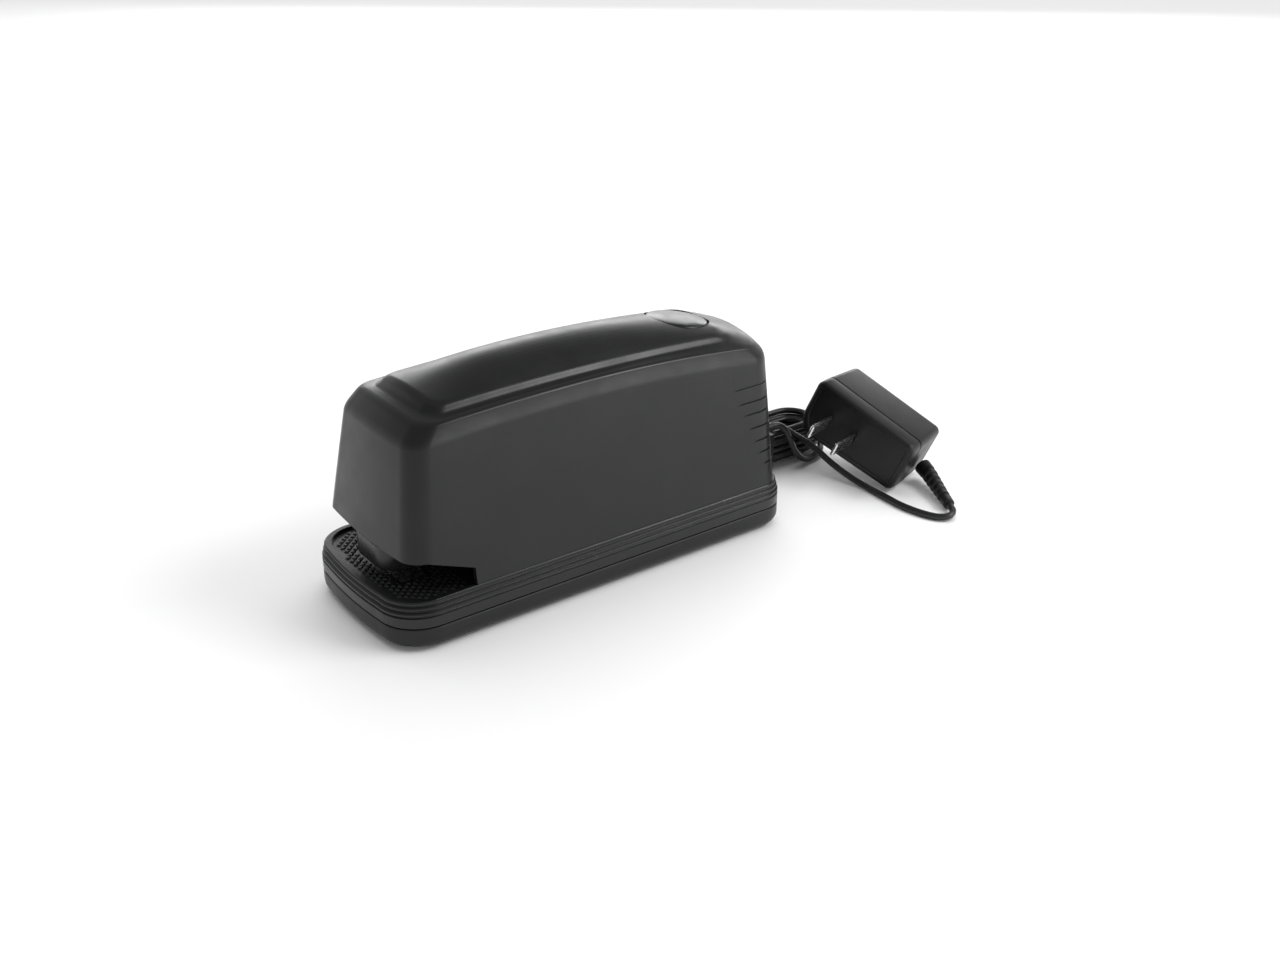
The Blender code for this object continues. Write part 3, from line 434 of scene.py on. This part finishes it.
def plan(half_width, front, rear, front_radius, rear_radius, front_bow, rear_bow,
         corner_steps=12, bow_steps=18, side_steps=22):
    """A rounded rectangle with bowed ends, anticlockwise from the front left corner."""
    points = []
    for end, side, radius, bow in ((front, -1, front_radius, front_bow), (rear, 1, rear_radius, rear_bow)):
        reach = half_width - radius
        corner_y = end - side * (bow * (reach / half_width) ** 2 + radius)
        for k in range(corner_steps):
            angle = math.pi / 2 * k / corner_steps
            points.append((side * (reach + radius * math.cos(angle)),
                           corner_y + side * radius * math.sin(angle)))
        for k in range(bow_steps):
            x = side * reach * (1 - 2 * k / bow_steps)
            points.append((x, end - side * bow * (x / half_width) ** 2))
        for k in range(corner_steps + 1):
            angle = math.pi / 2 * k / corner_steps
            points.append((-side * (reach + radius * math.sin(angle)),
                           corner_y + side * radius * math.cos(angle)))
        other, other_radius, other_bow = ((rear, rear_radius, rear_bow) if side < 0
                                          else (front, front_radius, front_bow))
        other_reach = (half_width - other_radius) / half_width
        other_y = other + side * (other_bow * other_reach ** 2 + other_radius)
        for k in range(1, side_steps):
            points.append((-side * half_width, corner_y + (other_y - corner_y) * k / side_steps))
    return points


def panel_height(x, y):
    """The crowned panel: flat along its sides, part of its crown at the front edge, none at the rear."""
    front = FRONT_SHARE + (1 - FRONT_SHARE) * eased((y - PANEL_FRONT) / PANEL_FADE_FRONT)
    fade = front * eased((PANEL_REAR - y) / PANEL_FADE_REAR)
    return PANEL_EDGE(y) + (RIDGE(y) - PANEL_EDGE(y)) * fade * (1 - min(1.0, (x / PANEL_HALF) ** 2))


def rounded_column(points, cuts):
    """The line through the points with each inner corner rounded by its cut."""
    out = [points[0]]
    for before, here, after, cut_by in zip(points, points[1:], points[2:], cuts[1:]):
        back, on = before - here, after - here
        reach = min(cut_by, back.length * 0.48, on.length * 0.48)
        a, b = here + back.normalized() * reach, here + on.normalized() * reach
        for k in range(5):
            t = k / 4
            out.append(a * (1 - t) ** 2 + here * 2 * t * (1 - t) + b * t * t)
    return out + [points[-1]]


def crowned_ring(outline, height, front_crown, rear_crown):
    """A level's outline, raised towards x = 0 by the crown of its front or rear half."""
    ring = []
    for x, y in plan(*outline):
        crown = rear_crown if y > 0 else front_crown
        ring.append(Vector((x, y, height(y) + crown * (1 - min(1.0, (x / outline[0]) ** 2)))))
    return ring


def casing_rings():
    """The casing's rings from its foot to the panel's ridge, with each corner between them rounded."""
    rings, cuts = [], []
    for outline, height, front_crown, rear_crown, cut_by in LEVELS:
        rings.append(crowned_ring(outline, height, front_crown, rear_crown))
        cuts.append(cut_by)
    for inset in PANEL_INSETS:
        half = PANEL_HALF - inset
        outline = (half, PANEL_FRONT + inset, PANEL_REAR - inset * 0.8, min(5.5, half * 0.8),
                   min(15.0, half * 0.9), 1.6, 1.0)
        rings.append([Vector((x, y, panel_height(x, y))) for x, y in plan(*outline)])
        cuts.append(0.6)
    columns = [rounded_column(list(column), cuts) for column in zip(*rings)]
    return [list(ring) for ring in zip(*columns)]


def loft(rings, ridge=None):
    """A closed body through rings of equal count; a ridge gives the height of a last ring on x = 0."""
    bm = bmesh.new()
    if ridge:
        rings = rings + [[(0.0, p[1], ridge(p[1])) for p in rings[-1]]]
    rows = [[bm.verts.new(point) for point in ring] for ring in rings]
    for lower, upper in zip(rows, rows[1:]):
        for k in range(len(lower)):
            bm.faces.new((lower[k - 1], lower[k], upper[k], upper[k - 1]))
    bm.faces.new(rows[0])
    if ridge:
        bmesh.ops.remove_doubles(bm, verts=rows[-1], dist=0.01)
    else:
        bm.faces.new(rows[-1])
    return to_mesh(bm, "loft")


def prism_mesh(outline, low, high, axis):
    """An outline extruded along an axis; the outline is in the other two axes, in x, y, z order."""
    order = {"X": (2, 0, 1), "Y": (0, 2, 1), "Z": (0, 1, 2)}[axis]
    bm = bmesh.new()
    rows = []
    for level in (low, high):
        rows.append([bm.verts.new([(u, v, level)[k] for k in order]) for u, v in outline])
    for k in range(len(outline)):
        bm.faces.new((rows[0][k - 1], rows[0][k], rows[1][k], rows[1][k - 1]))
    bm.faces.new(rows[0])
    bm.faces.new(rows[1])
    return to_mesh(bm, "prism")


def rod_mesh(start, end, radius, sides=48):
    start, end = Vector(start), Vector(end)
    bm = bmesh.new()
    bmesh.ops.create_cone(bm, cap_ends=True, segments=sides, radius1=radius, radius2=radius,
                          depth=(end - start).length)
    turn = (end - start).to_track_quat("Z", "Y").to_matrix().to_4x4()
    bmesh.ops.transform(bm, matrix=Matrix.Translation((start + end) / 2) @ turn, verts=bm.verts)
    return to_mesh(bm, "rod")


def carved(mesh, tools):
    """The mesh with each of the tool meshes cut out of it by an exact Boolean."""
    made = bpy.data.objects.new("carved", mesh)
    bpy.context.scene.collection.objects.link(made)
    helpers = []
    for tool in tools:
        helper = bpy.data.objects.new("tool", tool)
        bpy.context.scene.collection.objects.link(helper)
        helpers.append(helper)
        modifier = made.modifiers.new("cut", "BOOLEAN")
        modifier.operation, modifier.solver, modifier.object = "DIFFERENCE", "EXACT", helper
    bpy.context.view_layer.update()
    result = bpy.data.meshes.new_from_object(made.evaluated_get(bpy.context.evaluated_depsgraph_get()))
    for old in (made, *helpers):
        bpy.data.objects.remove(old)
    return result


def outline_at(z):
    """The casing's plan at a height below its upper edges."""
    (low, *_), (high, *_) = LEVELS[1:3] if z <= 50 else LEVELS[2:4]
    start, end = (26.0, 50.0) if z <= 50 else (50.0, 72.0)
    share = (z - start) / (end - start)
    return plan(*(a + (b - a) * share for a, b in zip(low, high)))


def louvre_tool(z, start_y):
    """A thin band that cuts a groove round the rear of the casing, from start_y on one side to the other."""
    rear = [Vector((*p, 0)) for p in outline_at(z) if p[1] > start_y - 8]
    first = max(range(len(rear)), key=lambda k: (rear[k] - rear[k - 1]).length)
    line = [p for p in smooth_line(rear[first:] + rear[:first], 0.9) if p.y > start_y]
    outer, inner = [], []
    last = len(line) - 1
    for k, p in enumerate(line):
        along = (line[min(k + 1, last)] - line[max(k - 1, 0)]).normalized()
        out = Vector((along.y, -along.x, 0))
        depth = LOUVRE_DEPTH * eased(min(k, last - k) / 5 + 0.1)
        outer.append(p + out * 2.0)
        inner.append(p - out * depth)
    outline = [(p.x, p.y) for p in outer + inner[::-1]]
    return prism_mesh(outline, z - LOUVRE_HALF_HEIGHT, z + LOUVRE_HALF_HEIGHT, "Z")


def button_matrix():
    top = Vector((0, BUTTON_Y, RIDGE(BUTTON_Y) - BUTTON_DROP))
    return Matrix.Translation(top) @ Matrix.Rotation(-BUTTON_TILT, 4, "X")


def casing():
    """The outer shell, hollow, with its mouth, button hole, jack hole and rear grooves."""
    rings = casing_rings()
    shell = loft(rings, lambda y: panel_height(0.0, y))
    shrink_x, shrink_y = 1 - CASING_WALL / 34, 1 - CASING_WALL / 86
    inside = []
    for ring in rings[::4]:
        inside.append([(p.x * shrink_x, p.y * shrink_y, p.z - (CASING_WALL if p.z > 60 else 0))
                       for p in ring])
    inside.insert(0, [(x, y, z - 5) for x, y, z in inside[0]])
    cavity = loft(inside, lambda y: panel_height(0.0, y / shrink_y) - CASING_WALL)
    hole = rod_mesh((0, 0, -12), (0, 0, 8), BUTTON_RADIUS + 0.45, 96)
    hole.transform(button_matrix())
    tools = [cavity, prism_mesh(MOUTH, -45, 45, "X"), hole, rod_mesh((0, 70, JACK_Z), (0, 95, JACK_Z), 4.6)]
    tools += [louvre_tool(z, y) for z, y in LOUVRES]
    add("casing_shell", carved(shell, tools), BLACK_ABS, stands_for=("casing",), sharp=38)


def turned_mesh(profile, sides=96):
    bm = bmesh.new()
    verts = [bm.verts.new((radius, 0, z)) for radius, z in profile]
    for a, b in zip(verts, verts[1:]):
        bm.edges.new((a, b))
    bmesh.ops.spin(bm, geom=bm.verts[:] + bm.edges[:], cent=(0, 0, 0), axis=(0, 0, 1),
                   angle=math.tau, steps=sides, use_merge=True)
    bmesh.ops.remove_doubles(bm, verts=bm.verts, dist=0.0005)
    return to_mesh(bm, "turned")


def button():
    """The release button: a shallow crown, a rounded rim and a small scoop at its right edge."""
    profile = [(0.0, 0.35), (3.0, 0.32), (6.0, 0.2), (8.5, 0.0), (10.5, -0.25), (11.6, -0.5),
               (12.1, -0.85), (12.35, -1.3), (12.4, -2.0), (12.4, -5.2), (3.0, -5.2), (3.0, -27.0),
               (1.2, -28.6), (0.0, -28.6)]
    cap = turned_mesh(profile)
    scoop = rod_mesh((13.2, -6.0, 8.6), (13.2, 6.0, 8.6), 9.4, 64)
    cap = carved(cap, [scoop])
    cap.transform(button_matrix())
    add("button_cap", cap, BUTTON_ABS, body="button", stands_for=("release_button",))


# --- base ---

BASE_HALF_WIDTH, BASE_HALF_LENGTH = 36.0, 89.0
SEAM_Z, TABLE_Z, RIM_Z, TRAY_BOTTOM = 9.15, 17.8, 19.0, 1.2
FOOT_X, FOOT_Y, SCREW_Y = (-25, 25), (-62, 62), (-79, 79)
BAND_TOP_HALF_WIDTH = 34.6
BEAD_LEVELS = (13.5, 15.4, 17.3)
ANVIL_POCKET = ((-14.8, -76.3), (14.8, -76.3), (14.8, -65.2), (-14.8, -65.2))
TRIGGER_SLOT = ((11.2, -55.5), (14.8, -55.5), (14.8, -46.5), (11.2, -46.5))
# inset and height of the section of one bead, from the groove below it
BEAD = ((0.0, -0.3), (0.55, 0.0), (0.62, 0.2), (0.3, 0.42), (0.08, 0.8), (0.05, 1.3))


def base_ring(inset, z):
    outline = plan(BASE_HALF_WIDTH - inset, inset - BASE_HALF_LENGTH, BASE_HALF_LENGTH - inset,
                   16.0 - inset, 12.0 - inset, 3.7, 2.0)
    return [(x, y, z) for x, y in outline]


def base():
    """The plain tray and, above a fine seam, the beaded band with its sunken paper table."""
    tray_rings = [base_ring(2.6, 3.6), base_ring(2.4, SEAM_Z - 0.15), base_ring(0.5, SEAM_Z - 0.15),
                  base_ring(0.2, SEAM_Z - 0.25), base_ring(0.03, SEAM_Z - 0.55), base_ring(0.0, SEAM_Z - 1.0),
                  base_ring(0.0, 4.8), base_ring(0.12, 3.8), base_ring(0.45, 2.9), base_ring(1.0, 2.1),
                  base_ring(1.7, 1.5), base_ring(2.6, TRAY_BOTTOM)]
    tools = [rod_mesh((x, y, -1), (x, y, 2.2), 6.4) for x in FOOT_X for y in FOOT_Y]
    for y in SCREW_Y:
        tools += [rod_mesh((0, y, -1), (0, y, 2.4), 3.2), rod_mesh((0, y, -1), (0, y, 5), 1.8)]
    add("tray_shell", carved(loft(tray_rings), tools), TRAY_ABS, stands_for=("base_tray",))
    rings = [base_ring(2.7, TABLE_Z - 3.0), base_ring(2.5, SEAM_Z + 0.15), base_ring(0.5, SEAM_Z + 0.15),
             base_ring(0.2, SEAM_Z + 0.25), base_ring(0.03, SEAM_Z + 0.55), base_ring(0.0, SEAM_Z + 1.0)]
    step = (BASE_HALF_WIDTH - BAND_TOP_HALF_WIDTH) / len(BEAD_LEVELS)
    for k, z in enumerate(BEAD_LEVELS):
        rings += [base_ring(k * step + inset, z + rise) for inset, rise in BEAD]
    rings += [base_ring(3 * step, RIM_Z - 0.15), base_ring(3 * step + 0.15, RIM_Z), base_ring(3.3, RIM_Z),
              base_ring(3.5, RIM_Z - 0.2), base_ring(3.7, TABLE_Z)]
    pockets = [prism_mesh(ANVIL_POCKET, TABLE_Z - 1.7, 25, "Z"), prism_mesh(TRIGGER_SLOT, 5, 25, "Z")]
    add("band_shell", carved(loft(rings), pockets), BAND_ABS, stands_for=("base_cover",))


def grip_pattern():
    """Raised diamonds in staggered rows on the paper table."""
    bm = bmesh.new()
    pitch_x, pitch_y, height, top_share = 3.1, 1.75, 0.45, 0.42
    first_y, last_y, margin = -86.0, -57.6, 4.4
    clear_half, clear_front, clear_rear = 16.4, -77.9, -63.6
    edge = plan(BASE_HALF_WIDTH - margin, margin - BASE_HALF_LENGTH, BASE_HALF_LENGTH - margin, 11.6, 7.6,
                3.7, 2.0, corner_steps=8, bow_steps=8, side_steps=4)

    def inside(x, y):
        hit = False
        for (x0, y0), (x1, y1) in zip(edge, edge[1:] + edge[:1]):
            if (y0 > y) != (y1 > y) and x < x0 + (y - y0) * (x1 - x0) / (y1 - y0):
                hit = not hit
        return hit

    for row in range(20):
        y = first_y + row * pitch_y
        for k in range(-12, 13):
            x = (k + (0.5 if row % 2 else 0.0)) * pitch_x
            a, b = pitch_x * 0.44, pitch_y * 0.82
            corners = ((x - a, y), (x, y - b), (x + a, y), (x, y + b))
            if y > last_y or not all(inside(*c) for c in corners):
                continue
            if abs(x) < clear_half and clear_front < y < clear_rear:
                continue
            low = [bm.verts.new((u, v, TABLE_Z - 0.1)) for u, v in corners]
            top = [bm.verts.new((x + (u - x) * top_share, y + (v - y) * top_share, TABLE_Z + height))
                   for u, v in corners]
            for j in range(4):
                bm.faces.new((low[j - 1], low[j], top[j], top[j - 1]))
            bm.faces.new(top)
            bm.faces.new(low[::-1])
    add("grip_diamonds", to_mesh(bm, "grip"), BAND_ABS, sharp=20)


def nose():
    """The magazine's rounded plastic head, with a lip, a slot and soft edges."""
    half, front, radius = 14.0, -80.6, 8.0
    back, slot_half, slot_front = -61.5, 8.3, -72.3

    def ring(inset, z):
        right = [(half - inset - radius + radius * math.cos(a), front + inset + radius - radius * math.sin(a))
                 for a in (math.pi / 2 * k / 16 for k in range(17))]
        points = [(half - inset, back), *right]
        points += [(-x, y) for x, y in points[::-1]]
        points += [(-slot_half, back), (-slot_half, slot_front), (slot_half, slot_front), (slot_half, back)]
        return [(x, y, z) for x, y in points]

    rings = [ring(1.0, 21.2), ring(0.45, 21.35), ring(0.12, 21.75), ring(0.0, 22.4), ring(0.0, 30.2),
             ring(0.15, 30.4), ring(0.6, 30.45), ring(0.6, 30.95), ring(0.15, 31.0), ring(0.0, 31.2),
             ring(0.0, 31.6), ring(0.2, 31.8)]
    add("nose_shell", loft(rings), NOSE_ABS, body="magazine", stands_for=("magazine_nose",))


# --- wall adapter ---

ADAPTER_CENTRE = Vector((21.2, 148.6, 21.7))
ADAPTER_ALONG = Vector((0.8882, 0.2402, -0.3916)).normalized()
ADAPTER_FACE = Vector((0.2701, -0.9626, 0.0222))
ADAPTER_LENGTH, ADAPTER_HEIGHT, ADAPTER_DEPTH = 51.2, 24.0, 28.8
ADAPTER_BELLY, ADAPTER_BULGE = 0.26, 0.8


def adapter_matrix():
    """From the adapter's length, height and depth to its place behind the stapler."""
    along = ADAPTER_ALONG
    face = (ADAPTER_FACE - along * ADAPTER_FACE.dot(along)).normalized()
    up = face.cross(along).normalized()
    if up.z < 0:
        up = -up
    turn = Matrix((along, up, face)).transposed()
    return Matrix.Translation(ADAPTER_CENTRE) @ turn.to_4x4()


def rounded_rectangle(half_u, half_v, radius, steps=10):
    """A rounded rectangle whose left end is taller below and bulges outwards."""
    points = []
    for su, sv, start in ((1, 1, 0), (-1, 1, 1), (-1, -1, 2), (1, -1, 3)):
        r = radius + (4.5 if su < 0 and sv < 0 else 0)
        for k in range(steps + 1):
            angle = math.pi / 2 * (start + k / steps)
            u = su * (half_u - r) + r * math.cos(angle)
            v = sv * (half_v - r) + r * math.sin(angle)
            if v < 0:
                v *= 1 + ADAPTER_BELLY * (1 - u / half_u) / 2
            points.append((u, v))
    left = [k for k, (u, _) in enumerate(points) if u < -half_u + 0.6]
    mid = (points[left[0]][1] + points[left[-1]][1]) / 2
    reach = abs(points[left[0]][1] - mid) + 0.01
    for k in left:
        u, v = points[k]
        points[k] = (u - ADAPTER_BULGE * (1 - ((v - mid) / reach) ** 2), v)
    return points


def shell(name, sections, node):
    """A body through rounded rectangles (half length, half height, corner radius, depth)."""
    rings = [[(u, v, w) for u, v in rounded_rectangle(half_u - 0.4, half_v, radius)]
             for half_u, half_v, radius, w in sections]
    mesh = loft(rings)
    mesh.transform(adapter_matrix())
    return add(name, mesh, ADAPTER_ABS, stands_for=(node,))


def adapter():
    """The adapter's body and its cover, parted by a fine groove."""
    u, v, w = ADAPTER_LENGTH / 2, ADAPTER_HEIGHT / 2, ADAPTER_DEPTH / 2
    split = w - 8.0
    body = [(u * 0.95 - 2.4, v * 0.95 - 2.4, 1.2, -w), (u * 0.95 - 1.0, v * 0.95 - 1.0, 2.2, -w + 0.35),
            (u * 0.95 - 0.2, v * 0.95 - 0.2, 2.8, -w + 1.3), (u * 0.953, v * 0.953, 2.9, -w + 2.6),
            (u - 0.1, v - 0.1, 2.9, split - 1.1), (u - 0.1, v - 0.1, 2.9, split - 0.5),
            (u - 0.5, v - 0.5, 2.6, split - 0.2)]
    cover = [(u - 0.5, v - 0.5, 2.6, split + 0.15), (u - 0.1, v - 0.1, 2.9, split + 0.45),
             (u, v, 2.9, split + 1.0), (u, v, 2.9, w - 1.6), (u - 0.15, v - 0.15, 2.8, w - 0.8),
             (u - 0.6, v - 0.6, 2.4, w - 0.2), (u - 1.2, v - 1.2, 2.0, w), (u - 2.4, v - 2.4, 1.6, w),
             (u - 2.7, v - 2.7, 1.5, w - 0.4)]
    shell("adapter_shell", body, "adapter_body")
    shell("adapter_face", cover, "adapter_cover")


casing()
button()
base()
grip_pattern()
nose()
adapter()


# --- stage ---

FLOOR_HALF_SIZE = 14.0
SUN_TOWARDS, SUN_ENERGY, SUN_ANGLE = (-0.35, 0.25, 1.0), 1.75, 1.3
# name, direction from the object, distance, width, height and radiance
SOFTBOXES = (
    ("back_left", (-0.72, 0.62, 0.27), 1.6, 1.5, 0.45, 3.4),
    ("back_right", (0.46, 0.54, 0.67), 1.4, 0.7, 0.5, 8.0),
    ("right_low", (0.83, 0.55, 0.20), 1.5, 0.9, 0.3, 4.6),
)


def stage():
    bm = bmesh.new()
    bmesh.ops.create_grid(bm, x_segments=2, y_segments=2, size=FLOOR_HALF_SIZE)
    look = Look("pale_floor", (0.9, 0.9, 0.9), 0.7)
    look.tint(look.noise(3.0, 2.0), (0.88, 0.88, 0.88))
    mesh = to_mesh(bm, "floor")
    mesh.materials.append(look.material)
    floor = bpy.data.objects.new("floor", mesh)
    bpy.context.scene.collection.objects.link(floor)


def studio():
    """A dim ceiling over a pale horizon."""
    world = bpy.data.worlds.new("studio")
    world.use_nodes = True
    tree = world.node_tree
    direction = tree.nodes.new("ShaderNodeTexCoord").outputs["Generated"]
    height = tree.nodes.new("ShaderNodeSeparateXYZ")
    tree.links.new(direction, height.inputs[0])
    span = tree.nodes.new("ShaderNodeMapRange")
    for socket, number in (("From Min", 0.1), ("From Max", 0.6), ("To Min", 0.85), ("To Max", 0.32)):
        span.inputs[socket].default_value = number
    tree.links.new(height.outputs["Z"], span.inputs["Value"])
    tree.links.new(span.outputs["Result"], tree.nodes["Background"].inputs["Strength"])
    tree.nodes["Background"].inputs["Color"].default_value = (1, 1, 1, 1)
    bpy.context.scene.world = world


def softbox(name, towards, distance, width, height, radiance):
    """A soft rectangle of light, bright enough to show as a highlight."""
    data = bpy.data.lights.new(name, "AREA")
    data.shape = "RECTANGLE"
    data.size, data.size_y = width, height
    data.energy = radiance * math.pi * width * height
    made = bpy.data.objects.new(name, data)
    made.location = Vector(towards).normalized() * distance
    made.rotation_euler = made.location.to_track_quat("Z", "Y").to_euler()
    bpy.context.scene.collection.objects.link(made)


def overhead_sun():
    """Broad light from above that adds no highlight of its own."""
    data = bpy.data.lights.new("overhead", "SUN")
    data.energy = SUN_ENERGY
    data.angle = SUN_ANGLE
    made = bpy.data.objects.new("overhead", data)
    made.rotation_euler = Vector(SUN_TOWARDS).to_track_quat("Z", "Y").to_euler()
    made.visible_glossy = False
    bpy.context.scene.collection.objects.link(made)


def lights():
    studio()
    overhead_sun()
    for row in SOFTBOXES:
        softbox(*row)
    bpy.context.scene.view_settings.view_transform = "Standard"


stage()
lights()
